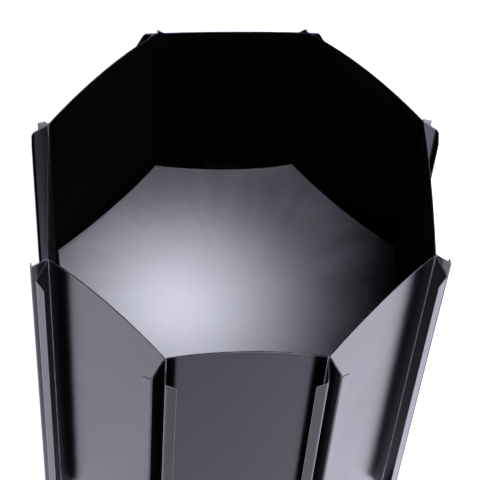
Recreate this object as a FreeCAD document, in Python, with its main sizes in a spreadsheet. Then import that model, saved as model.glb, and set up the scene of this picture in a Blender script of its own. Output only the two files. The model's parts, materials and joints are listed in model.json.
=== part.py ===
import FreeCAD, Part
import math
import os
import re
import Sketcher

# Octagonal snoot with eight leaves. Millimetres, +Z up the tube, mouth at the top.
# The origin is the centre of the mounting plate's underside, where the lamp's holder bears.
# Sides are numbered anticlockwise from above. Side 0 is the front and faces -Y.

Vector = FreeCAD.Vector
SIDES = 8
SIDE_ANGLE = 360.0 / SIDES
SIDE_NAMES = ["front", "front_right", "right", "back_right", "back", "back_left", "left", "front_left"]
BACK = SIDES // 2
NOT_ALIASES = ("tan", "cos", "deg")
SMALL = 0.01
RIVET_PLACES = ("-1 * rivet_far", "-1 * rivet_near", "rivet_near", "rivet_far")
CORNER_X = "post_circle * cos(67.5 deg)"
CORNER_Y = "-1 * post_circle * cos(22.5 deg)"
parts = []

doc = FreeCAD.newDocument("snoot")
sheet = doc.addObject("Spreadsheet::Sheet", "sheet")

DRIVING = [
    ("across_flats", 300.0),        # inside faces of opposite leaves
    ("sheet_thick", 1.0),
    ("bend_clear", 0.05),           # a leaf's bend to the plane between two leaves
    ("bend_outer", 1.8),
    ("leaf_length", 450.0),
    ("leaf_foot", 40.0),            # height of a leaf's lower edge
    ("channel_depth", 15.4),        # web's inner face to lip's outer face
    ("lip_width", 9.4),
    ("end_drop", 14.5),             # fall of a flange's end from web to tip
    ("lip_drop", 7.5),              # fall of a lip's end from flange to free edge
    ("mouth_sagitta", 9.5),
    ("back_sagitta", 1.6),
    ("foot_notch", 6.0),            # leaf's foot to the start of its flanges
    ("cut_margin", 0.2),            # a lip's end cut starts this far behind the lip
    ("plate_radius", 165.0),
    ("plate_bore", 135.0),
    ("plate_thick", 2.0),
    ("collar_thick", 1.5),
    ("collar_flange", 13.0),
    ("axis_height", 38.0),          # hinge axis
    ("axis_gap", 2.0),              # axis to the collar's edge, and to the leaf's edge
    ("knuckle_radius", 3.2),
    ("pin_radius", 1.5),
    ("pin_clear", 0.05),
    ("pin_head_radius", 2.3),
    ("pin_head_thick", 0.9),
    ("pin_end_play", 0.1),
    ("hinge_width", 90.0),
    ("hinge_thick", 1.5),
    ("knuckle_gap", 0.3),
    ("plate_gap", 4.0),             # hinge axis to the edge of either hinge plate
    ("hinge_height", 30.0),
    ("rivet_radius", 1.6),
    ("hole_clear", 0.05),
    ("rivet_head_radius", 3.0),
    ("rivet_head_high", 1.2),
    ("rivet_tail_radius", 2.5),
    ("rivet_tail_high", 0.6),
    ("rivet_near", 15.0),           # the inner two rivets, from the hinge's middle
    ("rivet_far", 37.8),            # the outer two
    ("rivet_edge", 8.0),            # a hinge plate's edge to its nearer row of rivets
    ("strap_rows_apart", 14.0),
    ("bracket_rows_apart", 12.0),
    ("post_radius", 2.5),
    ("post_circle", 158.8),
    ("tip_radius", 1.9),
    ("tip_high", 4.0),
    ("tip_bevel", 1.0),
    ("screw_radius", 1.5),
    ("screw_depth", 12.0),
    ("screw_spare", 1.0),           # post's bore beyond the screw's end
    ("sink_deep", 1.2),             # countersink of a post screw
    ("frame_thick", 1.5),
    ("frame_width", 8.0),
    ("frame_clear", 0.8),
    ("cloth_gap", 3.0),             # frame's top to the cloth
    ("cloth_height", 290.5),        # underside of the cloth
    ("cloth_thick", 1.5),
    ("cloth_clear", 1.5),           # cloth's corner to the leaf
    ("cloth_sagitta", 5.0),
    ("tab_width", 35.0),
    ("tab_deep", 3.6),
    ("tab_high", 7.0),
    ("tab_lift", 0.3),              # frame's top to the tab
]

for row, (alias, value) in enumerate(DRIVING, start=1):
    sheet.set("A%d" % row, alias)
    sheet.set("B%d" % row, str(value))
    sheet.setAlias("B%d" % row, alias)

DERIVED = [
    ("wall_inner", "across_flats / 2"),
    ("wall_outer", "wall_inner + sheet_thick"),
    ("bend_reach", "bend_outer * ( 1 + tan(22.5 deg) - 1 / cos(22.5 deg) )"),
    ("half_side", "wall_inner * tan(22.5 deg) + bend_reach - bend_clear / cos(22.5 deg)"),
    ("lip_face", "wall_inner + channel_depth"),
    ("mouth_height", "leaf_foot + leaf_length"),
    ("collar_inner", "wall_outer - collar_thick"),
    ("collar_top", "axis_height - axis_gap"),
    ("flange_top", "plate_thick + collar_thick"),
    ("flange_inner", "collar_inner - collar_flange"),
    ("flange_middle", "collar_inner - collar_flange / 2"),
    ("axis_out", "wall_outer + knuckle_radius"),
    ("hinge_half", "hinge_width / 2"),
    ("knuckle_inner", "0.2 * hinge_half"),
    ("knuckle_outer", "0.6 * hinge_half"),
    ("knuckle_bore", "pin_radius + pin_clear"),
    ("hinge_face", "wall_outer + hinge_thick"),
    ("strap_rows_low", "axis_height + plate_gap + rivet_edge"),
    ("strap_rows_high", "strap_rows_low + strap_rows_apart"),
    ("bracket_rows_high", "axis_height - plate_gap - rivet_edge"),
    ("bracket_rows_low", "bracket_rows_high - bracket_rows_apart"),
    ("frame_top", "cloth_height - cloth_gap"),
    ("frame_low", "frame_top - frame_thick"),
    ("frame_outer", "wall_inner - frame_clear"),
    ("frame_inner", "frame_outer - frame_width"),
    ("cloth_outer", "wall_inner - cloth_clear"),
]

for row, (alias, rule) in enumerate(DERIVED, start=len(DRIVING) + 1):
    sheet.set("A%d" % row, alias)
    sheet.set("B%d" % row, "=" + rule)
    sheet.setAlias("B%d" % row, alias)
doc.recompute()


def bound(rule):
    """An expression in the sheet's aliases, as it is written outside the sheet."""
    return re.sub(r"[a-z_]+", lambda word: word.group() if word.group() in NOT_ALIASES
                  else "sheet." + word.group(), rule)


def number(rule):
    """The present value of an expression in the sheet's aliases."""
    value = sheet.evalExpression(bound(rule))
    return float(getattr(value, "Value", value))


def add_body(label):
    body = doc.addObject("PartDesign::Body", label)
    body.Label = label
    parts.append(body)
    return body


def turn_to_side(part, side):
    """Turns a piece made at the front to another side of the octagon."""
    part.Placement = FreeCAD.Placement(Vector(), FreeCAD.Rotation(Vector(0, 0, 1), side * SIDE_ANGLE))


def origin_item(body, role):
    """The body's own plane or axis of that role."""
    return next(item for item in body.Origin.OriginFeatures if item.Role == role)


def new_sketch(body, name, role, offset_rule=None):
    sketch = body.newObject("Sketcher::SketchObject", name)
    sketch.AttachmentSupport = [(origin_item(body, role), "")]
    sketch.MapMode = "FlatFace"
    if offset_rule:
        sketch.setExpression("AttachmentOffset.Base.z", bound(offset_rule))
    return sketch


def pin_point(sketch, geometry, end, rule_x, rule_y):
    """Ties one point of a sketch to the sheet by its two distances from the origin."""
    for kind, rule in (("DistanceX", rule_x), ("DistanceY", rule_y)):
        index = sketch.addConstraint(Sketcher.Constraint(kind, -1, 1, geometry, end, number(rule)))
        sketch.setExpression("Constraints[%d]" % index, bound(rule))


def draw_polygon(sketch, corners, arc_top=None):
    """A closed outline through (x rule, y rule) corners.

    arc_top is the rule for the height at x = 0 of an arc that takes the place of the first edge.
    """
    points = [Vector(number(rule_x), number(rule_y), 0) for rule_x, rule_y in corners]
    count = len(points)
    first = sketch.GeometryCount
    for index in range(count):
        start = points[index]
        end = points[(index + 1) % count]
        edge = Part.LineSegment(start, end)
        if index == 0 and arc_top:
            edge = Part.Arc(end, Vector(0, number(arc_top), 0), start)
        sketch.addGeometry(edge, False)
    ends = {index: (1, 2) for index in range(count)}
    if arc_top:
        ends[0] = (2, 1)
    for index in range(count):
        following = (index + 1) % count
        sketch.addConstraint(Sketcher.Constraint(
            "Coincident", first + index, ends[index][1], first + following, ends[following][0]))
    for index, (rule_x, rule_y) in enumerate(corners):
        pin_point(sketch, first + index, ends[index][0], rule_x, rule_y)
    if arc_top:
        crown = sketch.addGeometry(Part.Point(Vector(0, number(arc_top), 0)), True)
        sketch.addConstraint(Sketcher.Constraint("PointOnObject", crown, 1, first))
        pin_point(sketch, crown, 1, "0 * sheet_thick", arc_top)


def draw_circle(sketch, rule_x, rule_y, radius_rule):
    centre = Vector(number(rule_x), number(rule_y), 0)
    index = sketch.addGeometry(Part.Circle(centre, Vector(0, 0, 1), number(radius_rule)), False)
    radius = sketch.addConstraint(Sketcher.Constraint("Radius", index, number(radius_rule)))
    sketch.setExpression("Constraints[%d]" % radius, bound(radius_rule))
    pin_point(sketch, index, 3, rule_x, rule_y)


def draw_octagon(sketch, apothem_rule):
    """A regular octagon with a flat side towards -Y."""
    near = apothem_rule + " * tan(22.5 deg)"
    far = apothem_rule
    draw_polygon(sketch, [
        ("-1 * " + near, "-1 * " + far),
        (near, "-1 * " + far),
        (far, "-1 * " + near),
        (far, near),
        (near, far),
        ("-1 * " + near, far),
        ("-1 * " + far, near),
        ("-1 * " + far, "-1 * " + near),
    ])


def pad(body, sketch, length_rule, name="pad", midplane=False):
    feature = body.newObject("PartDesign::Pad", name)
    feature.Profile = sketch
    feature.setExpression("Length", bound(length_rule))
    feature.Midplane = midplane
    doc.recompute()
    return feature


def pocket(body, sketch, name, length_rule=None, reverse=False):
    """Cuts a sketch's area out, through everything unless a depth is given."""
    before = body.Shape.Volume
    feature = body.newObject("PartDesign::Pocket", name)
    feature.Profile = sketch
    if length_rule:
        feature.setExpression("Length", bound(length_rule))
    else:
        feature.Type = "ThroughAll"
        feature.Midplane = True
    feature.Reversed = reverse
    doc.recompute()
    if before - body.Shape.Volume < SMALL:
        raise RuntimeError("%s cuts nothing from %s" % (name, body.Label))
    return feature


def dress_edges(body, kind, base, names, size_property, size_rule, name):
    """Adds a Fillet or a Chamfer on the named edges of base."""
    feature = body.newObject("PartDesign::" + kind, name)
    feature.Base = (base, names)
    feature.setExpression(size_property, bound(size_rule))
    doc.recompute()
    return feature


def round_uprights(body, base, places, radius_rule, name):
    """Rounds the upright edges that stand at the (x rule, y rule) places, on both hands."""
    targets = [(number(rule_x), number(rule_y)) for rule_x, rule_y in places]
    names = []
    for index, edge in enumerate(base.Shape.Edges, start=1):
        box = edge.BoundBox
        middle = edge.CenterOfMass
        upright = box.ZLength > SMALL and box.XLength < SMALL and box.YLength < SMALL
        if upright and any(math.hypot(abs(middle.x) - x, -middle.y - y) < SMALL for x, y in targets):
            names.append("Edge%d" % index)
    return dress_edges(body, "Fillet", base, names, "Radius", radius_rule, name)


def revolve(body, sketch):
    """Turns a sketch on the XZ plane round the body's own Z axis."""
    feature = body.newObject("PartDesign::Revolution", "revolution")
    feature.Profile = sketch
    feature.ReferenceAxis = (origin_item(body, "Z_Axis"), [""])
    feature.Angle = 360
    doc.recompute()
    return feature


# ---- leaves

def make_leaf(side):
    """A folded leaf: web, two flanges outward, and a lip back from each flange."""
    body = add_body("leaf_" + SIDE_NAMES[side])
    section = new_sketch(body, "section", "XY_Plane", "leaf_foot")
    draw_polygon(section, [
        ("-1 * half_side", "-1 * wall_inner"),
        ("half_side", "-1 * wall_inner"),
        ("half_side", "-1 * lip_face"),
        ("half_side - lip_width", "-1 * lip_face"),
        ("half_side - lip_width", "sheet_thick - lip_face"),
        ("half_side - sheet_thick", "sheet_thick - lip_face"),
        ("half_side - sheet_thick", "-1 * wall_outer"),
        ("sheet_thick - half_side", "-1 * wall_outer"),
        ("sheet_thick - half_side", "sheet_thick - lip_face"),
        ("lip_width - half_side", "sheet_thick - lip_face"),
        ("lip_width - half_side", "-1 * lip_face"),
        ("-1 * half_side", "-1 * lip_face"),
    ])
    crown = "back_sagitta" if side == BACK else "mouth_sagitta"
    blank = pad(body, section, "leaf_length + " + crown)

    outside = [
        ("half_side", "wall_inner"),
        ("half_side", "lip_face"),
    ]
    inside = [
        ("half_side - sheet_thick", "wall_outer"),
        ("half_side - sheet_thick", "lip_face - sheet_thick"),
    ]
    rounded = round_uprights(body, blank, outside, "bend_outer", "bends_outside")
    round_uprights(body, rounded, inside, "bend_outer - sheet_thick", "bends_inside")

    mouth = new_sketch(body, "mouth", "XZ_Plane")
    draw_polygon(mouth, [
        ("-1 * half_side", "mouth_height"),
        ("half_side", "mouth_height"),
        ("half_side + lip_width", "mouth_height"),
        ("half_side + lip_width", "mouth_height + lip_width + " + crown),
        ("-1 * half_side - lip_width", "mouth_height + lip_width + " + crown),
        ("-1 * half_side - lip_width", "mouth_height"),
    ], arc_top="mouth_height + " + crown)
    pocket(body, mouth, "mouth_cut")

    ends = new_sketch(body, "flange_ends", "YZ_Plane")
    draw_polygon(ends, [
        ("-1 * wall_outer", "mouth_height"),
        ("-1 * lip_face", "mouth_height - end_drop"),
        ("-1 * lip_face - lip_width", "mouth_height - end_drop"),
        ("-1 * lip_face - lip_width", "mouth_height + end_drop"),
        ("-1 * wall_outer", "mouth_height + end_drop"),
    ])
    pocket(body, ends, "flange_ends_cut")

    feet = new_sketch(body, "flange_feet", "YZ_Plane")
    draw_polygon(feet, [
        ("-1 * wall_outer", "leaf_foot + foot_notch"),
        ("-1 * lip_face", "leaf_foot + foot_notch + end_drop"),
        ("-1 * lip_face - lip_width", "leaf_foot + foot_notch + end_drop"),
        ("-1 * lip_face - lip_width", "leaf_foot - foot_notch"),
        ("-1 * wall_outer", "leaf_foot - foot_notch"),
    ])
    pocket(body, feet, "flange_feet_cut")

    for hand in (-1, 1):
        cut_lip_end(body, hand, "top", "mouth_height - end_drop", -1)
        cut_lip_end(body, hand, "foot", "leaf_foot + foot_notch + end_drop", 1)

    holes = new_sketch(body, "rivet_holes", "XZ_Plane", "wall_inner - sheet_thick")
    for across in RIVET_PLACES:
        draw_circle(holes, across, rivet_row("strap", across), "rivet_radius + hole_clear")
    pocket(body, holes, "rivet_holes_cut", "3 * sheet_thick", reverse=True)
    turn_to_side(body, side)


def cut_lip_end(body, hand, end, corner_height, away):
    """Slopes one end of a lip. away is -1 where the slope falls from the flange to the free edge."""
    name = "lip_%s_%s" % ("left" if hand < 0 else "right", end)
    flange = "%d * half_side" % hand
    free_edge = "%d * ( half_side - lip_width )" % hand
    beyond = "%d * ( half_side - lip_width - sheet_thick )" % hand
    inward = "%s + %d * lip_drop" % (corner_height, away)
    outward = "%s - %d * lip_drop" % (corner_height, away)
    slope = new_sketch(body, name, "XZ_Plane", "lip_face - sheet_thick - cut_margin")
    draw_polygon(slope, [
        (flange, corner_height),
        (free_edge, inward),
        (beyond, inward),
        (beyond, outward),
        (flange, outward),
    ])
    pocket(body, slope, name + "_cut", "2 * sheet_thick", reverse=True)


# ---- hinges

def rivet_row(kind, across):
    """The outer two rivets of a hinge half are near the axis on the strap, far from it on the bracket."""
    if kind == "strap":
        return "strap_rows_high" if "near" in across else "strap_rows_low"
    return "bracket_rows_high" if "near" in across else "bracket_rows_low"


def knuckle_spans(kind):
    """The stretches of the hinge's width that one half's knuckles take, as x rules."""
    if kind == "bracket":
        return [
            ("-1 * hinge_half", "-1 * knuckle_outer"),
            ("-1 * knuckle_inner", "knuckle_inner"),
            ("knuckle_outer", "hinge_half"),
        ]
    return [
        ("knuckle_gap - knuckle_outer", "-1 * knuckle_inner - knuckle_gap"),
        ("knuckle_inner + knuckle_gap", "knuckle_outer - knuckle_gap"),
    ]


def make_hinge_half(side, kind):
    """One half of a butt hinge: a plate, tongues down to the axis, and rolled knuckles.

    The strap goes up from the axis on the leaf, and the bracket goes down on the collar.
    """
    body = add_body("hinge_%s_%s" % (kind, SIDE_NAMES[side]))
    up = 1 if kind == "strap" else -1
    plate = new_sketch(body, "plate", "XZ_Plane", "wall_outer")
    draw_polygon(plate, [
        ("-1 * hinge_half", "axis_height + %d * plate_gap" % up),
        ("hinge_half", "axis_height + %d * plate_gap" % up),
        ("hinge_half", "axis_height + %d * hinge_height" % up),
        ("-1 * hinge_half", "axis_height + %d * hinge_height" % up),
    ])
    pad(body, plate, "hinge_thick", "plate_pad")
    for index, (low, high) in enumerate(knuckle_spans(kind)):
        tongue = new_sketch(body, "tongue_%d" % index, "XZ_Plane", "wall_outer")
        draw_polygon(tongue, [
            (low, "axis_height"),
            (high, "axis_height"),
            (high, "axis_height + %d * plate_gap" % up),
            (low, "axis_height + %d * plate_gap" % up),
        ])
        pad(body, tongue, "hinge_thick", "tongue_pad_%d" % index)
        roll = new_sketch(body, "knuckle_%d" % index, "YZ_Plane", low)
        draw_circle(roll, "-1 * axis_out", "axis_height", "knuckle_radius")
        pad(body, roll, "( %s ) - ( %s )" % (high, low), "knuckle_pad_%d" % index)
    bore = new_sketch(body, "bore", "YZ_Plane")
    draw_circle(bore, "-1 * axis_out", "axis_height", "knuckle_bore")
    pocket(body, bore, "bore_cut")
    holes = new_sketch(body, "rivet_holes", "XZ_Plane")
    for across in RIVET_PLACES:
        draw_circle(holes, across, rivet_row(kind, across), "rivet_radius + hole_clear")
    pocket(body, holes, "rivet_holes_cut")
    turn_to_side(body, side)


def make_pin(side):
    """A hinge pin with a head at each end."""
    body = add_body("hinge_pin_" + SIDE_NAMES[side])
    shank = new_sketch(body, "shank", "YZ_Plane")
    draw_circle(shank, "-1 * axis_out", "axis_height", "pin_radius")
    pad(body, shank, "2 * ( hinge_half + pin_end_play )", "shank_pad", midplane=True)
    ends = [
        ("head_left", "-1 * hinge_half - pin_end_play - pin_head_thick"),
        ("head_right", "hinge_half + pin_end_play"),
    ]
    for name, start in ends:
        head = new_sketch(body, name, "YZ_Plane", start)
        draw_circle(head, "-1 * axis_out", "axis_height", "pin_head_radius")
        pad(body, head, "pin_head_thick", name + "_pad")
    turn_to_side(body, side)


# ---- rivets and screws

def rivet(grip, with_tail):
    """A rivet along +Z with its domed head above 0, through sheets down to -grip, and a flat tail below."""
    head_radius = number("rivet_head_radius")
    head_high = number("rivet_head_high")
    ball_radius = (head_radius ** 2 + head_high ** 2) / (2 * head_high)
    ball = Part.makeSphere(ball_radius, Vector(0, 0, head_high - ball_radius))
    dome = Part.makeCylinder(head_radius, head_high).common(ball)
    pieces = [Part.makeCylinder(number("rivet_radius"), grip, Vector(0, 0, -grip))]
    if with_tail:
        tail_high = number("rivet_tail_high")
        below = Vector(0, 0, -grip - tail_high)
        pieces.append(Part.makeCylinder(number("rivet_tail_radius"), tail_high, below))
    return dome.fuse(pieces).removeSplitter()


def add_group(label, solids, side=0):
    """Identical fasteners as one compound of separate solids."""
    feature = doc.addObject("Part::Feature", label)
    feature.Label = label
    feature.Shape = Part.makeCompound(solids)
    turn_to_side(feature, side)
    parts.append(feature)


def hinge_rivets(kind, inner_rule):
    """The four rivets of one hinge half, at the front."""
    solids = []
    for across in RIVET_PLACES:
        one = rivet(number("hinge_face - ( %s )" % inner_rule), with_tail=True)
        one.rotate(Vector(), Vector(1, 0, 0), 90)
        one.translate(Vector(number(across), -number("hinge_face"), number(rivet_row(kind, across))))
        solids.append(one)
    return solids


def turned(solids, side):
    result = []
    for solid in solids:
        copy = solid.copy()
        copy.rotate(Vector(), Vector(0, 0, 1), side * SIDE_ANGLE)
        result.append(copy)
    return result


def make_flange_rivets():
    """One rivet at the middle of each side, through the collar's flange and flush under the plate."""
    one = rivet(number("flange_top"), with_tail=False)
    one.translate(Vector(0, -number("flange_middle"), number("flange_top")))
    add_group("flange_rivets", [turned([one], side)[0] for side in range(SIDES)])


# ---- base

def make_plate():
    """The round plate that the lamp's accessory holder takes."""
    body = add_body("mounting_plate")
    outline = new_sketch(body, "outline", "XY_Plane")
    draw_circle(outline, "0 * plate_bore", "0 * plate_bore", "plate_radius")
    draw_circle(outline, "0 * plate_bore", "0 * plate_bore", "plate_bore")
    pad(body, outline, "plate_thick")
    drilled = add_base_holes(body)
    names = []
    for index, edge in enumerate(drilled.Shape.Edges, start=1):
        reach = math.hypot(edge.BoundBox.Center.x, edge.BoundBox.Center.y)
        if edge.BoundBox.ZMax < SMALL and abs(reach - number("post_circle")) < SMALL:
            names.append("Edge%d" % index)
    dress_edges(body, "Chamfer", drilled, names, "Size", "sink_deep", "countersinks")


def around(body, cut, name):
    """Repeats a cut for every side."""
    pattern = body.newObject("PartDesign::PolarPattern", name)
    pattern.Originals = [cut]
    pattern.Axis = (origin_item(body, "Z_Axis"), [""])
    pattern.Angle = 360
    pattern.Occurrences = SIDES
    body.Tip = pattern
    doc.recompute()
    return pattern


def add_base_holes(body):
    """Holes for the post screws at the corners, and for the rivets at the middles of the sides."""
    corner = new_sketch(body, "screw_hole", "XY_Plane")
    draw_circle(corner, CORNER_X, CORNER_Y, "screw_radius + hole_clear")
    around(body, pocket(body, corner, "screw_hole_cut"), "screw_holes")
    middle = new_sketch(body, "flange_hole", "XY_Plane")
    draw_circle(middle, "0 * plate_bore", "-1 * flange_middle", "rivet_radius + hole_clear")
    return around(body, pocket(body, middle, "flange_hole_cut"), "flange_holes")


def make_collar():
    """The octagonal band that carries the hinges, with a flange turned inward at its foot."""
    body = add_body("base_collar")
    floor = new_sketch(body, "floor", "XY_Plane", "plate_thick")
    draw_octagon(floor, "wall_outer")
    draw_octagon(floor, "flange_inner")
    pad(body, floor, "collar_thick", "flange_pad")
    wall = new_sketch(body, "wall", "XY_Plane", "plate_thick")
    draw_octagon(wall, "wall_outer")
    draw_octagon(wall, "collar_inner")
    pad(body, wall, "collar_top - plate_thick", "wall_pad")
    add_base_holes(body)
    holes = new_sketch(body, "hinge_holes", "XZ_Plane", "collar_inner - sheet_thick")
    for across in RIVET_PLACES:
        draw_circle(holes, across, rivet_row("bracket", across), "rivet_radius + hole_clear")
    around(body, pocket(body, holes, "hinge_holes_cut", "4 * sheet_thick", reverse=True), "hinge_holes")


# ---- diffuser

def corner_placement(side):
    """The middle of the corner to the right of a side, seen from outside, at the post circle."""
    angle = math.radians(side * SIDE_ANGLE - 90.0 + SIDE_ANGLE / 2)
    reach = number("post_circle")
    return FreeCAD.Placement(Vector(reach * math.cos(angle), reach * math.sin(angle), 0), FreeCAD.Rotation())


def make_post(corner):
    """A corner post: rod with a threaded foot, a shoulder for the frame and a rounded tip."""
    body = add_body("corner_post_%d" % (corner + 1))
    profile = new_sketch(body, "profile", "XZ_Plane")
    draw_polygon(profile, [
        ("screw_radius + hole_clear", "flange_top"),
        ("post_radius", "flange_top"),
        ("post_radius", "frame_low"),
        ("tip_radius", "frame_low"),
        ("tip_radius", "frame_low + tip_high - tip_bevel"),
        ("tip_radius - tip_bevel", "frame_low + tip_high"),
        ("0 * tip_radius", "frame_low + tip_high"),
        ("0 * tip_radius", "flange_top + screw_depth + screw_spare"),
        ("screw_radius + hole_clear", "flange_top + screw_depth + screw_spare"),
    ])
    revolve(body, profile)
    body.Placement = corner_placement(corner)


def make_post_screws():
    """Countersunk screws, flush with the plate's underside, up into the feet of the posts."""
    radius = number("screw_radius")
    sink = number("sink_deep")
    head = Part.makeCone(radius + sink, radius, sink)
    one = head.fuse(Part.makeCylinder(radius, number("flange_top + screw_depth"))).removeSplitter()
    solids = []
    for corner in range(SIDES):
        copy = one.copy()
        copy.translate(corner_placement(corner).Base)
        solids.append(copy)
    add_group("post_screws", solids)


def make_frame():
    """The flat octagonal ring that sits on the posts' shoulders."""
    body = add_body("diffuser_frame")
    outline = new_sketch(body, "outline", "XY_Plane", "frame_low")
    draw_octagon(outline, "frame_outer")
    draw_octagon(outline, "frame_inner")
    pad(body, outline, "frame_thick")
    hole = new_sketch(body, "tip_hole", "XY_Plane")
    draw_circle(hole, CORNER_X, CORNER_Y, "tip_radius + hole_clear")
    around(body, pocket(body, hole, "tip_hole_cut"), "tip_holes")


def make_cloth():
    """The stretched cloth: eight corners, and edges that pull in between them."""
    half = math.radians(SIDE_ANGLE / 2)
    reach = number("cloth_outer") / math.cos(half)
    inward = number("cloth_outer") - number("cloth_sagitta")
    low = number("cloth_height")
    edges = []
    for side in range(SIDES):
        middle = math.radians(side * SIDE_ANGLE - 90.0)
        points = []
        for radius, angle in ((reach, middle - half), (inward, middle), (reach, middle + half)):
            points.append(Vector(radius * math.cos(angle), radius * math.sin(angle), low))
        edges.append(Part.Arc(*points).toShape())
    face = Part.Face(Part.Wire(edges))
    feature = doc.addObject("Part::Feature", "diffuser_cloth")
    feature.Label = "diffuser_cloth"
    feature.Shape = face.extrude(Vector(0, 0, number("cloth_thick")))
    parts.append(feature)


def make_tab():
    """The folded webbing tab at the back edge of the cloth."""
    tab = doc.addObject("Part::Box", "pull_tab")
    tab.Label = "pull_tab"
    tab.setExpression("Length", "sheet.tab_width")
    tab.setExpression("Width", "sheet.tab_deep")
    tab.setExpression("Height", "sheet.tab_high")
    tab.setExpression("Placement.Base.x", "-sheet.tab_width / 2")
    tab.setExpression("Placement.Base.y", "sheet.cloth_outer - sheet.tab_deep")
    tab.setExpression("Placement.Base.z", "sheet.frame_top + sheet.tab_lift")
    parts.append(tab)


# ---- build, check, write

make_plate()
make_collar()
for side in range(SIDES):
    make_leaf(side)
    make_hinge_half(side, "strap")
    make_hinge_half(side, "bracket")
    make_pin(side)
    add_group("strap_rivets_" + SIDE_NAMES[side], hinge_rivets("strap", "wall_inner"), side)
    make_post(side)
add_group("bracket_rivets", [solid for side in range(SIDES)
                             for solid in turned(hinge_rivets("bracket", "collar_inner"), side)])
make_flange_rivets()
make_post_screws()
make_frame()
make_cloth()
make_tab()
doc.recompute()

for item in doc.Objects:
    if "Invalid" in item.State or "Error" in item.State:
        raise RuntimeError("%s failed: %s" % (item.Name, item.State))

os.makedirs("parts", exist_ok=True)
for part in parts:
    if part.Shape.isNull() or not part.Shape.isValid():
        raise RuntimeError("%s has no valid shape" % part.Label)
    part.Shape.exportStep(os.path.join("parts", part.Label + ".step"))
print("%d parts written" % len(parts))
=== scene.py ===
import json
import math

import bmesh
import bpy
from mathutils import Matrix, Vector, noise


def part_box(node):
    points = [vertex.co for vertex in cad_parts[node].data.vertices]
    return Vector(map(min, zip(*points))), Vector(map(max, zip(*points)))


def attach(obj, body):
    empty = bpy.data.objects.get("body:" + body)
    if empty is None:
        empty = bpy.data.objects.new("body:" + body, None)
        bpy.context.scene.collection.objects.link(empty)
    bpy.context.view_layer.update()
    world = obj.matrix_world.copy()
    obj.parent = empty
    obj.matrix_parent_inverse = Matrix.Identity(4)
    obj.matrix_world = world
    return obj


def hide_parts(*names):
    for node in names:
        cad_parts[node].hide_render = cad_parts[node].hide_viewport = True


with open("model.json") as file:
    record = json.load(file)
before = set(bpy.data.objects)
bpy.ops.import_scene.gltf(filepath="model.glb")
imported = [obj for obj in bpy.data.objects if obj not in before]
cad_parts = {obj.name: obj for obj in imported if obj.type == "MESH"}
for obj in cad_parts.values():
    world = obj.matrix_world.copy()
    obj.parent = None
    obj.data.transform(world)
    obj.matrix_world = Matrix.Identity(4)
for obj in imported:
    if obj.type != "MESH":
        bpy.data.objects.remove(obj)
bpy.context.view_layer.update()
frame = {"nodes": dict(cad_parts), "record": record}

# The snoot stands mouth up on the floor. Metres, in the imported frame: +Z up, front leaf towards -Y.
SIDES = 8
SIDE_ANGLE = 2 * math.pi / SIDES
SIDE_NAMES = ["front", "front_right", "right", "back_right", "back", "back_left", "left", "front_left"]
NODES = frame["nodes"]


# ---- camera, floor and light

CAMERA_PLACE = Vector((-0.1023, -0.9313, 1.9901))
CAMERA_DOWN = math.radians(59.33)       # below the horizon
CAMERA_TURN = math.radians(-6.49)       # from +Y towards -X
CAMERA_ROLL = math.radians(5.03)
CAMERA_LENS = 167.9
SENSOR = 36.0
VIEW_FAR = 100.0

COOL = (0.955, 0.95, 1.075)             # tint of every lamp
FLOOR_TINT = (0.970, 0.945, 1.13)
KEY_AIM = Vector((0.0, 0.0, 0.30))
POOL_AIM = Vector((-0.048, 0.005, 0.291))
WORLD_HORIZON = 1.0                     # brightness up to FADE_FROM, then fading to the zenith's at FADE_TO
WORLD_ZENITH = 0.002
FADE_FROM = math.radians(3)
FADE_TO = math.radians(16)
POOL_SOFTNESS = 0.072                   # radius of the focused lamp's source
FLOOR_SIZE = 40.0
# The floor's glow holds painted light and shade: brighter at the right as if lit by the key, a painted shadow
# in front of the snoot, and a painted contact shadow under it.
FLOOR_LEFT = 1.04                       # how much the floor glows, left and right of the snoot
FLOOR_RIGHT = 1.54
FLOOR_SIDE_SPAN = (-0.02, 0.24)         # X over which the glow goes from left to right
FLOOR_FRONT = 0.62                      # share of that glow in the shade before the snoot
SHADE_STARTS = (-0.10, -0.20)           # Y over which that shade comes in
SHADE_SIDES = (0.30, 0.12)              # distance from the Y axis over which it comes in at the sides
FLOOR_UNDER = 0.05                      # share of the glow under the snoot
UNDER_EDGE = (0.13, 0.16)               # distance from the axis over which it ends
# The view's dark tones and what they are shown as. Everything above the last is unchanged.
TOE = ((0.008, 0.0022), (0.016, 0.0055), (0.03, 0.0155), (0.05, 0.036), (0.08, 0.074), (0.12, 0.12))


def make_camera():
    """The photographer's camera, above the front leaf and rolled a little."""
    data = bpy.data.cameras.new("camera")
    data.lens = CAMERA_LENS
    data.sensor_width = SENSOR
    data.clip_end = VIEW_FAR
    camera = bpy.data.objects.new("camera", data)
    bpy.context.scene.collection.objects.link(camera)
    level = math.cos(CAMERA_DOWN)
    look = Vector((-math.sin(CAMERA_TURN) * level, math.cos(CAMERA_TURN) * level, -math.sin(CAMERA_DOWN)))
    right = look.cross(Vector((0, 0, 1))).normalized()
    up = right.cross(look)
    across = right * math.cos(CAMERA_ROLL) + up * math.sin(CAMERA_ROLL)
    upward = up * math.cos(CAMERA_ROLL) - right * math.sin(CAMERA_ROLL)
    turn = Matrix((across, upward, -look)).transposed().to_4x4()
    camera.matrix_world = Matrix.Translation(CAMERA_PLACE) @ turn
    bpy.context.scene.camera = camera


def grade():
    """A plain view with its deepest tones pulled down a little."""
    view = bpy.context.scene.view_settings
    view.view_transform = "Standard"
    view.use_curve_mapping = True
    toe = view.curve_mapping.curves[3]
    for tone, shown in TOE:
        point = toe.points.new(tone, shown)
        point.handle_type = "VECTOR"
    view.curve_mapping.update()


def direction(bearing, height):
    """Unit vector at that bearing, in degrees from +Y towards +X, and that height above the horizon."""
    turn = math.radians(bearing)
    rise = math.radians(height)
    return Vector((math.sin(turn) * math.cos(rise), math.cos(turn) * math.cos(rise), math.sin(rise)))


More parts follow.
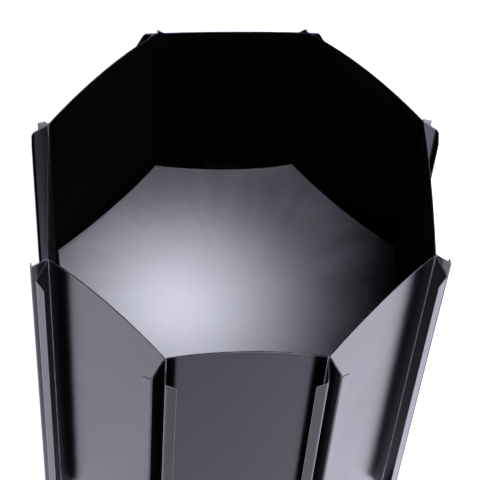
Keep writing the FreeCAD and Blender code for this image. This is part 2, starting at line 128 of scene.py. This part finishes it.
def hang_lamp(data, aim, bearing, height, distance, power):
    """Hangs a lamp that far from aim, and points it there. The camera doesn't see it."""
    data.energy = power
    data.color = COOL
    lamp = bpy.data.objects.new(data.name, data)
    bpy.context.scene.collection.objects.link(lamp)
    away = direction(bearing, height)
    lamp.location = aim + away * distance
    lamp.rotation_euler = away.to_track_quat("Z", "Y").to_euler()
    lamp.visible_camera = False


def make_softbox(name, bearing, height, distance, width, tall, power):
    """A rectangular lamp that faces the cloth."""
    data = bpy.data.lights.new(name, "AREA")
    data.shape = "RECTANGLE"
    data.size = width
    data.size_y = tall
    hang_lamp(data, KEY_AIM, bearing, height, distance, power)


def make_spot(name, aim, bearing, height, distance, pool, power):
    """A focused lamp whose soft round pool, pool in radius, lies on the cloth at aim."""
    data = bpy.data.lights.new(name, "SPOT")
    data.spot_size = 2 * math.atan(pool / distance)
    data.spot_blend = 1.0
    data.shadow_soft_size = POOL_SOFTNESS
    hang_lamp(data, aim, bearing, height, distance, power)


def make_world():
    """White towards the horizon and below, black overhead, as in a low-walled studio."""
    world = bpy.data.worlds.new("studio")
    bpy.context.scene.world = world
    world.use_nodes = True
    tree = world.node_tree
    background = tree.nodes["Background"]
    place = tree.nodes.new("ShaderNodeTexCoord")
    split = tree.nodes.new("ShaderNodeSeparateXYZ")
    fade = tree.nodes.new("ShaderNodeMapRange")
    fade.interpolation_type = "SMOOTHSTEP"
    fade.inputs["From Min"].default_value = math.sin(FADE_FROM)
    fade.inputs["From Max"].default_value = math.sin(FADE_TO)
    fade.inputs["To Min"].default_value = WORLD_HORIZON
    fade.inputs["To Max"].default_value = WORLD_ZENITH
    tree.links.new(place.outputs["Generated"], split.inputs[0])
    tree.links.new(split.outputs["Z"], fade.inputs["Value"])
    tree.links.new(fade.outputs["Result"], background.inputs["Strength"])
    background.inputs["Color"].default_value = (*COOL, 1.0)


class Graph:
    """A material with short ways to add and join its nodes."""

    def __init__(self, name):
        self.material = bpy.data.materials.new(name)
        self.material.use_nodes = True
        self.tree = self.material.node_tree
        self.shader = self.tree.nodes["Principled BSDF"]
        self.place = self.tree.nodes.new("ShaderNodeTexCoord").outputs["Object"]

    def new(self, kind, inputs=(), **settings):
        made = self.tree.nodes.new(kind)
        for name, value in settings.items():
            setattr(made, name, value)
        for socket, value in dict(inputs).items():
            self.put(made.inputs[socket], value)
        return made

    def put(self, socket, value):
        if isinstance(value, bpy.types.NodeSocket):
            self.tree.links.new(value, socket)
        else:
            socket.default_value = value

    def math(self, operation, first, second=0.0):
        made = self.new("ShaderNodeMath", operation=operation)
        for socket, value in zip(made.inputs, (first, second)):
            self.put(socket, value)
        return made.outputs[0]

    def split(self, vector):
        made = self.new("ShaderNodeSeparateXYZ", {0: vector})
        return made.outputs[0], made.outputs[1], made.outputs[2]

    def join(self, x, y, z):
        return self.new("ShaderNodeCombineXYZ", {0: x, 1: y, 2: z}).outputs[0]

    def length(self, x, y):
        squares = self.math("ADD", self.math("POWER", x, 2.0), self.math("POWER", y, 2.0))
        return self.math("SQRT", squares)

    def noise(self, scale, detail=2.0, place=None, roughness=0.5):
        inputs = {"Vector": place or self.place, "Scale": scale, "Detail": detail, "Roughness": roughness}
        return self.new("ShaderNodeTexNoise", inputs).outputs["Fac"]

    def fit(self, value, low, high, to_low=0.0, to_high=1.0):
        """value from low to high, mapped smoothly to to_low to to_high and held at the ends."""
        made = self.new("ShaderNodeMapRange", {"Value": value, "From Min": low, "From Max": high,
                                               "To Min": to_low, "To Max": to_high})
        made.interpolation_type = "SMOOTHSTEP"
        return made.outputs["Result"]

    def mix(self, factor, first, second):
        made = self.new("ShaderNodeMix", data_type="RGBA")
        self.put(made.inputs["Factor"], factor)
        for socket, value in ((made.inputs[6], first), (made.inputs[7], second)):
            self.put(socket, value if isinstance(value, bpy.types.NodeSocket) else (*value, 1.0))
        return made.outputs[2]

    def bump(self, height, strength, depth, under=None):
        made = self.new("ShaderNodeBump", {"Height": height, "Strength": strength, "Distance": depth})
        if under:
            self.put(made.inputs["Normal"], under)
        return made.outputs["Normal"]

    def set(self, **values):
        """Sets sockets of the shader: Base_Color=..., Roughness=... and so on."""
        for name, value in values.items():
            socket = self.shader.inputs[name.replace("_", " ")]
            if isinstance(value, tuple):
                value = (*value, 1.0)
            self.put(socket, value)
        return self.material


def make_floor():
    """Pale floor that glows, with light and shade painted into its glow: brightest at the right as if lit by
    the key, dimmer in front as a painted shadow of the snoot, and nearly dark under the snoot as a painted
    contact shadow.
    """
    bpy.ops.mesh.primitive_plane_add(size=FLOOR_SIZE)
    floor = bpy.context.object
    floor.name = "floor"
    graph = Graph("pale_floor")
    speckle = graph.noise(3.0, 3.0)
    tone = graph.mix(speckle, (0.80, 0.80, 0.80), (0.84, 0.84, 0.84))
    x, y, _ = graph.split(graph.place)
    side = graph.fit(x, *FLOOR_SIDE_SPAN, FLOOR_LEFT, FLOOR_RIGHT)
    between = graph.fit(graph.math("ABSOLUTE", x), *SHADE_SIDES)
    shade = graph.math("MULTIPLY", graph.fit(y, *SHADE_STARTS), between)
    glow = graph.math("MULTIPLY", side, graph.fit(shade, 0.0, 1.0, 1.0, FLOOR_FRONT))
    # painted contact shadow: the glow drops to almost nothing under the snoot
    under = graph.fit(graph.length(x, y), *UNDER_EDGE, FLOOR_UNDER, 1.0)
    glow = graph.math("MULTIPLY", glow, under)
    graph.set(Base_Color=tone, Roughness=0.9, Emission_Color=FLOOR_TINT, Emission_Strength=glow)
    floor.data.materials.append(graph.material)


# ---- materials

MM = 0.001
COAT_ROUND = 0.12 * MM                  # wider than this, and leaves would touch each other
SAME_POINT = 0.002 * MM
CUT_EDGE_ANGLE = math.radians(65)       # sharper than this is a cut edge, and not a facet of a bend
ARRIS_SLOT = 1
CHANNEL_DEPTH = 15.4 * MM               # from a leaf's inner face to its lips' outer face


def side_frame(graph):
    """The place across and out from the octagon's nearest side, and how far its surface faces out."""
    x, y, _ = graph.split(graph.place)
    normal_x, normal_y, _ = graph.split(graph.new("ShaderNodeNewGeometry").outputs["Normal"])
    side = graph.math("ROUND", graph.math("DIVIDE", graph.math("ARCTAN2", y, x), SIDE_ANGLE))
    angle = graph.math("MULTIPLY", side, SIDE_ANGLE)
    cosine = graph.math("COSINE", angle)
    sine = graph.math("SINE", angle)

    def outward(first, second):
        return graph.math("ADD", graph.math("MULTIPLY", first, cosine),
                          graph.math("MULTIPLY", second, sine))

    across = graph.math("SUBTRACT", graph.math("MULTIPLY", y, cosine), graph.math("MULTIPLY", x, sine))
    return across, outward(x, y), outward(normal_x, normal_y)


def black_sheet():
    """Folded aluminium in satin black powder coat; the side towards the axis is dead matt. The outside of the
    bends carries a painted highlight.
    """
    graph = Graph("satin_black_sheet")
    across, out, faces_out = side_frame(graph)
    inside = graph.fit(faces_out, -0.05, -0.30)
    blotch = graph.noise(24.0, 3.0)
    peel = graph.noise(900.0, 2.0)
    grain = graph.noise(2600.0, 2.0)

    low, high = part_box("leaf_front")
    # Painted highlight: a pale tone along the outside of the bends, broken up by noise, stands in for the
    # light the bends catch.
    side_bend = graph.fit(graph.math("ABSOLUTE", across), high.x - 1.9 * MM, high.x - 1.5 * MM)
    web_bend = graph.fit(out, -low.y - CHANNEL_DEPTH + 2.2 * MM, -low.y - CHANNEL_DEPTH + 1.7 * MM)
    lip_bend = graph.fit(out, -low.y - 1.0 * MM, -low.y - 0.3 * MM)
    bends = graph.math("MAXIMUM", web_bend, graph.math("MULTIPLY", lip_bend, 0.35))
    bend_highlight = graph.math("MULTIPLY", side_bend, bends)
    bend_highlight = graph.math("MULTIPLY", bend_highlight, graph.fit(graph.noise(60.0, 4.0), 0.30, 0.65, 0.65, 1.0))
    bend_highlight = graph.math("MULTIPLY", bend_highlight, graph.fit(inside, 0.0, 0.5, 1.0, 0.0))

    paint = graph.mix(blotch, (0.0012, 0.0012, 0.0015), (0.0022, 0.0022, 0.0027))
    paint = graph.mix(inside, paint, (0.0035, 0.0035, 0.0043))
    paint = graph.mix(bend_highlight, paint, (0.22, 0.22, 0.24))
    gloss = graph.fit(blotch, 0.3, 0.7, 0.215, 0.24)
    gloss = graph.math("ADD", gloss, graph.math("MULTIPLY", inside, 0.72))
    gloss = graph.math("ADD", gloss, graph.fit(grain, 0.3, 0.7, -0.01, 0.01))
    fine = graph.bump(peel, 0.08, 0.10 * MM)
    return graph.set(Base_Color=paint, Roughness=gloss, IOR=1.5,
                     Normal=graph.bump(grain, 0.04, 0.05 * MM, fine))


def rubbed_edge():
    """The arris of a cut edge, where the coat is thin and the aluminium grins through."""
    graph = Graph("rubbed_edge")
    worn = graph.fit(graph.noise(150.0, 4.0), 0.35, 0.65)
    tone = graph.mix(worn, (0.38, 0.38, 0.40), (0.66, 0.66, 0.68))
    return graph.set(Base_Color=tone, Metallic=0.8, Roughness=graph.fit(worn, 0.0, 1.0, 0.45, 0.35))


def black_metal(name, tone, rough, scale):
    """Matt or satin black coat on turned, pressed or flat metal, rubbed paler in scattered patches."""
    graph = Graph(name)
    cloud = graph.noise(scale, 4.0)
    grit = graph.noise(1800.0, 2.0)
    worn = graph.fit(graph.noise(scale * 4, 5.0, roughness=0.65), 0.60, 0.74)
    coat = graph.mix(cloud, tuple(0.75 * v for v in tone), tone)
    coat = graph.mix(graph.math("MULTIPLY", worn, 0.25), coat, (0.12, 0.12, 0.125))
    gloss = graph.fit(cloud, 0.3, 0.7, rough - 0.05, rough + 0.07)
    return graph.set(Base_Color=coat, Roughness=gloss, Normal=graph.bump(grit, 0.12, 0.08 * MM))


def bright_steel():
    """Drawn steel wire with fine lengthwise lines and a few darker, oily patches."""
    graph = Graph("drawn_steel")
    lines = graph.noise(700.0, 3.0)
    oil = graph.fit(graph.noise(60.0, 4.0), 0.45, 0.7)
    metal = graph.mix(oil, (0.46, 0.46, 0.47), (0.20, 0.19, 0.18))
    gloss = graph.fit(lines, 0.3, 0.7, 0.24, 0.42)
    return graph.set(Base_Color=metal, Metallic=1.0, Roughness=gloss,
                     Normal=graph.bump(lines, 0.10, 0.05 * MM))


def weave(graph, pitch):
    """Over-and-under height of a plain weave with that pitch, and a little slub."""
    x, y, _ = graph.split(graph.place)
    warp = graph.math("SINE", graph.math("MULTIPLY", x, 2 * math.pi / pitch))
    weft = graph.math("SINE", graph.math("MULTIPLY", y, 2 * math.pi / pitch))
    slub = graph.math("MULTIPLY", graph.noise(0.45 / pitch, 3.0), 0.8)
    return graph.math("ADD", graph.math("MULTIPLY", warp, weft), slub)


def fold_shade_streaks(graph):
    """Faint darker streaks that run in from the cloth's edge: painted shade of the gathers the fabric makes
    as it is pulled to its corners.
    """
    x, y, _ = graph.split(graph.place)
    reach = graph.length(x, y)
    heading = graph.join(graph.math("DIVIDE", x, reach), graph.math("DIVIDE", y, reach),
                         graph.math("MULTIPLY", reach, 2.5))
    streak = graph.noise(7.0, 4.0, place=heading)
    return graph.math("MULTIPLY", graph.fit(streak, 0.35, 0.70), graph.fit(reach, 0.05, 0.14))


def diffuser_fabric():
    """White ripstop-fine nylon: plain weave, slight slub and a soft sheen."""
    graph = Graph("diffuser_fabric")
    threads = weave(graph, 0.55 * MM)
    cloud = graph.noise(26.0, 4.0)
    yarn = graph.fit(graph.noise(900.0, 2.0), 0.35, 0.65)
    tone = graph.mix(cloud, (0.70, 0.705, 0.735), (0.76, 0.765, 0.795))
    tone = graph.mix(graph.math("MULTIPLY", yarn, 0.18), tone, (0.60, 0.60, 0.63))
    # darker streaks in from the edge: painted shade of the gathers
    tone = graph.mix(graph.math("MULTIPLY", fold_shade_streaks(graph), 0.30), tone, (0.52, 0.52, 0.54))
    gloss = graph.fit(cloud, 0.3, 0.7, 0.62, 0.74)
    return graph.set(Base_Color=tone, Roughness=gloss, Sheen_Weight=0.15, Sheen_Roughness=0.5,
                     Specular_IOR_Level=0.25, Normal=graph.bump(threads, 0.25, 0.06 * MM))


def black_webbing():
    """Ribbed black webbing with paler worn ribs."""
    graph = Graph("black_webbing")
    x, _, z = graph.split(graph.place)
    rib = graph.math("SINE", graph.math("MULTIPLY", z, 2 * math.pi / (1.1 * MM)))
    step = graph.math("SINE", graph.math("MULTIPLY", x, 2 * math.pi / (1.4 * MM)))
    cord = graph.math("ADD", graph.math("MULTIPLY", rib, step), graph.noise(800.0, 3.0))
    worn = graph.fit(graph.noise(180.0, 4.0), 0.5, 0.75)
    tone = graph.mix(worn, (0.018, 0.018, 0.020), (0.050, 0.050, 0.054))
    gloss = graph.fit(worn, 0.0, 1.0, 0.70, 0.85)
    return graph.set(Base_Color=tone, Roughness=gloss, Sheen_Weight=0.25, Sheen_Roughness=0.4,
                     Normal=graph.bump(cord, 0.4, 0.15 * MM))


def paint_nodes():
    """Gives every CAD node the material of its record slot."""
    finishes = {
        "leaf_sheet": black_sheet(),
        "base_sheet": black_metal("satin_black_base", (0.013, 0.013, 0.015), 0.34, 30.0),
        "hinge_steel": black_metal("black_hinge_steel", (0.016, 0.016, 0.018), 0.38, 70.0),
        "pin_steel": bright_steel(),
        "rivet_metal": black_metal("black_rivets", (0.020, 0.020, 0.022), 0.32, 160.0),
        "frame_metal": black_metal("matt_black_rod", (0.012, 0.012, 0.013), 0.50, 90.0),
        "diffuser_fabric": diffuser_fabric(),
        "webbing": black_webbing(),
    }
    arris = rubbed_edge()
    for part in frame["record"]["subparts"]:
        node = NODES[part["node"]]
        node.data.materials.clear()
        node.data.materials.append(finishes[part["material_slot"]])
        if part["material_slot"] == "leaf_sheet":
            soften_edges(node, arris)
    return finishes


def soften_edges(node, arris):
    """Rounds every cut edge of the sheet, and gives the round the arris material."""
    node.data.materials.append(arris)
    weld = node.modifiers.new("weld", "WELD")
    weld.merge_threshold = SAME_POINT
    bevel = node.modifiers.new("edges", "BEVEL")
    bevel.width = COAT_ROUND
    bevel.segments = 2
    bevel.limit_method = "ANGLE"
    bevel.angle_limit = CUT_EDGE_ANGLE
    bevel.use_clamp_overlap = False
    bevel.material = ARRIS_SLOT
    flatten = node.modifiers.new("flat_faces", "WEIGHTED_NORMAL")
    flatten.weight = 100                # the largest faces decide


# ---- diffuser cloth

CLOTH_LOW, CLOTH_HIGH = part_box("diffuser_cloth")
CLOTH_THICK = 0.45 * MM
CLOTH_LEVEL = (CLOTH_LOW.z + CLOTH_HIGH.z) / 2
CLOTH_SAG = 2.2 * MM
# How far each edge pulls in between its corners. The sides away from the camera show it.
EDGE_PULL = dict(front=4.6, front_right=4.2, right=1.2, back_right=4.2, back=5.0, back_left=3.4,
                 left=3.0, front_left=4.4)
CORNER_REACH = CLOTH_HIGH.x / math.cos(SIDE_ANGLE / 2)
RINGS = 64
STEPS_A_SIDE = 40
# Heights of the cloth's waves, in MM, and how much of them its hem takes away.
GATHERS = 2.0
FINE_GATHERS = 1.0
LOOSE_FOLDS = 6.0
HEM_HOLD = 0.75


def side_bearing(side):
    return side * SIDE_ANGLE - math.pi / 2


def rim(bearing):
    """Distance from the axis to the cloth's edge, which is an arc between each two corners."""
    side = round((bearing + math.pi / 2) / SIDE_ANGLE)
    turn = bearing - side_bearing(side)
    pull = EDGE_PULL[SIDE_NAMES[side % SIDES]] * MM
    half_chord = CORNER_REACH * math.sin(SIDE_ANGLE / 2)
    radius = (half_chord ** 2 + pull ** 2) / (2 * pull)
    centre = CLOTH_HIGH.x - pull + radius
    return centre * math.cos(turn) - math.sqrt(radius ** 2 - (centre * math.sin(turn)) ** 2)


def step_up(value, low, high):
    share = min(1.0, max(0.0, (value - low) / (high - low)))
    return share * share * (3 - 2 * share)


def cloth_height(bearing, share):
    """Height of the cloth: a shallow sag, gathers that run in from the edge, and loose folds at the right."""
    radius = share * rim(bearing)
    x = radius * math.cos(bearing)
    y = radius * math.sin(bearing)
    heading = Vector((math.cos(bearing), math.sin(bearing), 0))
    gathers = noise.noise(heading * 7.0 + Vector((0, 0, 1.6 * share + 3.1)))
    fine = noise.noise(heading * 21.0 + Vector((5.2, 0, 1.3 * share)))
    loose = step_up(x, 0.01, 0.12)
    folds = noise.noise(Vector((x * 16.0 + y * 7.0, y * 40.0 - x * 14.0, 7.7)))
    rise = (GATHERS * gathers + FINE_GATHERS * fine) * step_up(share, 0.10, 0.9)
    rise += LOOSE_FOLDS * loose * folds * (1 - step_up(share, 0.82, 1.0))
    held = 1 - HEM_HOLD * step_up(share, 0.93, 1.0)
    return CLOTH_LEVEL - CLOTH_SAG * (1 - share ** 2) + rise * held * MM


def mesh_object(name, build):
    """An object whose mesh is made by build(bmesh)."""
    mesh = bpy.data.meshes.new(name)
    shape = bmesh.new()
    build(shape)
    bmesh.ops.recalc_face_normals(shape, faces=shape.faces)
    shape.to_mesh(mesh)
    shape.free()
    for face in mesh.polygons:
        face.use_smooth = True
    made = bpy.data.objects.new(name, mesh)
    bpy.context.scene.collection.objects.link(made)
    return made


def finish_piece(piece, finishes, slot):
    """Gives a soft piece the material of its slot, and lets it ride on the base."""
    piece.data.materials.append(finishes[slot])
    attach(piece, "base")
    return piece


def bearings():
    """Bearings round the rim, with one at every corner."""
    count = SIDES * STEPS_A_SIDE
    return [SIDE_ANGLE / 2 + 2 * math.pi * step / count for step in range(count)]


def build_cloth(shape):
    headings = bearings()
    middle = shape.verts.new((0, 0, cloth_height(0.0, 0.0)))
    inner = None
    for ring in range(1, RINGS + 1):
        share = ring / RINGS
        row = []
        for bearing in headings:
            radius = share * rim(bearing)
            row.append(shape.verts.new((radius * math.cos(bearing), radius * math.sin(bearing),
                                        cloth_height(bearing, share))))
        for index, vertex in enumerate(row):
            following = (index + 1) % len(row)
            if inner:
                shape.faces.new((inner[index], vertex, row[following], inner[following]))
            else:
                shape.faces.new((middle, vertex, row[following]))
        inner = row


def thicken(piece, thickness):
    solid = piece.modifiers.new("thickness", "SOLIDIFY")
    solid.thickness = thickness
    solid.offset = 0.0


HEM_WIDE = 2.6 * MM
HEM_HIGH = 1.3 * MM
HEM_POINTS = 12
HEM_STEPS = SIDES * STEPS_A_SIDE * 4
STITCH_PITCH = 3.0 * MM


def build_hem(shape):
    """A rolled edge: a flattened tube along the rim, pinched by its stitches."""
    rows = []
    for step in range(HEM_STEPS):
        bearing = SIDE_ANGLE / 2 + 2 * math.pi * step / HEM_STEPS
        radius = rim(bearing) - HEM_WIDE / 2
        level = cloth_height(bearing, 1.0)
        travelled = step * SIDES * 2 * CORNER_REACH * math.sin(SIDE_ANGLE / 2) / HEM_STEPS
        pinch = 1 - 0.16 * max(0.0, math.cos(2 * math.pi * travelled / STITCH_PITCH)) ** 4
        lumps = 1 + 0.10 * noise.noise(Vector((math.cos(bearing), math.sin(bearing), 0)) * 40)
        row = []
        for point in range(HEM_POINTS):
            turn = 2 * math.pi * point / HEM_POINTS
            out = radius + HEM_WIDE / 2 * math.cos(turn)
            row.append(shape.verts.new((out * math.cos(bearing), out * math.sin(bearing),
                                        level + HEM_HIGH / 2 * pinch * lumps * math.sin(turn))))
        rows.append(row)
    for index, row in enumerate(rows):
        following = rows[(index + 1) % HEM_STEPS]
        for point in range(HEM_POINTS):
            beside = (point + 1) % HEM_POINTS
            shape.faces.new((row[point], following[point], following[beside], row[beside]))


# The pocket's outline in MM, as reach from its post's axis and height over the frame: up the outside, over
# the rim and down the inside.
POCKET_OUTLINE = [(2.85, 0.25), (2.8, 1.2), (2.6, 2.2), (2.2, 2.75), (1.2, 3.0),
                  (1.0, 2.75),
                  (2.0, 2.55), (2.2, 1.4), (2.25, 0.25)]
POCKET_STEPS = 28


def pocket_builder(corner):
    """A fabric cup under one corner of the cloth, which takes the tip of its post."""
    low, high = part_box("corner_post_%d" % (corner + 1))
    centre = (low + high) / 2
    _, frame_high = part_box("diffuser_frame")

    def build(shape):
        rings = []
        for reach, rise in POCKET_OUTLINE:
            rings.append([shape.verts.new((
                centre.x + reach * MM * math.cos(2 * math.pi * step / POCKET_STEPS),
                centre.y + reach * MM * math.sin(2 * math.pi * step / POCKET_STEPS),
                frame_high.z + rise * MM)) for step in range(POCKET_STEPS)])
        for first, second in zip(rings, rings[1:] + rings[:1]):
            for step in range(POCKET_STEPS):
                beside = (step + 1) % POCKET_STEPS
                shape.faces.new((first[step], first[beside], second[beside], second[step]))

    return build


def make_cloth(finishes):
    cloth = finish_piece(mesh_object("diffuser_sheet", build_cloth), finishes, "diffuser_fabric")
    thicken(cloth, CLOTH_THICK)
    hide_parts("diffuser_cloth")
    extras = [finish_piece(mesh_object("diffuser_hem", build_hem), finishes, "diffuser_fabric")]
    for corner in range(SIDES):
        pocket = mesh_object("corner_pocket_%d" % (corner + 1), pocket_builder(corner))
        extras.append(finish_piece(pocket, finishes, "diffuser_fabric"))


# ---- pull tab

TAB_LOW, TAB_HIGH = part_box("pull_tab")
TAB_THICK = 1.15 * MM
TAB_COLUMNS = 60
TAB_SIDE_STEPS = 8
TAB_FOLD_STEPS = 10


def tab_line():
    """The webbing's middle line across the fold, as (y, z): up the front, over, and down the back."""
    front = TAB_LOW.y + TAB_THICK / 2
    back = TAB_HIGH.y - TAB_THICK / 2
    radius = (back - front) / 2
    top = TAB_HIGH.z - TAB_THICK / 2 - radius
    bottom = TAB_LOW.z
    line = [(front, bottom + (top - bottom) * step / TAB_SIDE_STEPS) for step in range(TAB_SIDE_STEPS)]
    for step in range(TAB_FOLD_STEPS + 1):
        turn = math.pi * step / TAB_FOLD_STEPS
        line.append(((front + back) / 2 - radius * math.cos(turn), top + radius * math.sin(turn)))
    line += [(back, top - (top - bottom) * step / TAB_SIDE_STEPS) for step in range(1, TAB_SIDE_STEPS + 1)]
    return line


def build_tab(shape):
    line = tab_line()
    rows = []
    for column in range(TAB_COLUMNS + 1):
        share = column / TAB_COLUMNS
        x = TAB_LOW.x + (TAB_HIGH.x - TAB_LOW.x) * share
        wave = 0.18 * MM * noise.noise(Vector((x * 90, 2.0, 0)))
        dip = 0.30 * MM * noise.noise(Vector((x * 60, 9.0, 0)))
        rows.append([shape.verts.new((x, y + wave, z + dip * (z - TAB_LOW.z) / (TAB_HIGH.z - TAB_LOW.z)))
                     for y, z in line])
    for row, following in zip(rows, rows[1:]):
        for point in range(len(line) - 1):
            shape.faces.new((row[point], following[point], following[point + 1], row[point + 1]))


def make_tab(finishes):
    tab = finish_piece(mesh_object("folded_tab", build_tab), finishes, "webbing")
    thicken(tab, TAB_THICK * 0.9)
    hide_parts("pull_tab")


# ---- scene

make_camera()
make_world()
make_floor()
make_softbox("key", bearing=102, height=74, distance=1.6, width=3.6, tall=0.43, power=9.8)
make_spot("pool", aim=POOL_AIM, bearing=0, height=85, distance=1.5, pool=0.079, power=113)
FINISHES = paint_nodes()
make_cloth(FINISHES)
make_tab(FINISHES)
grade()
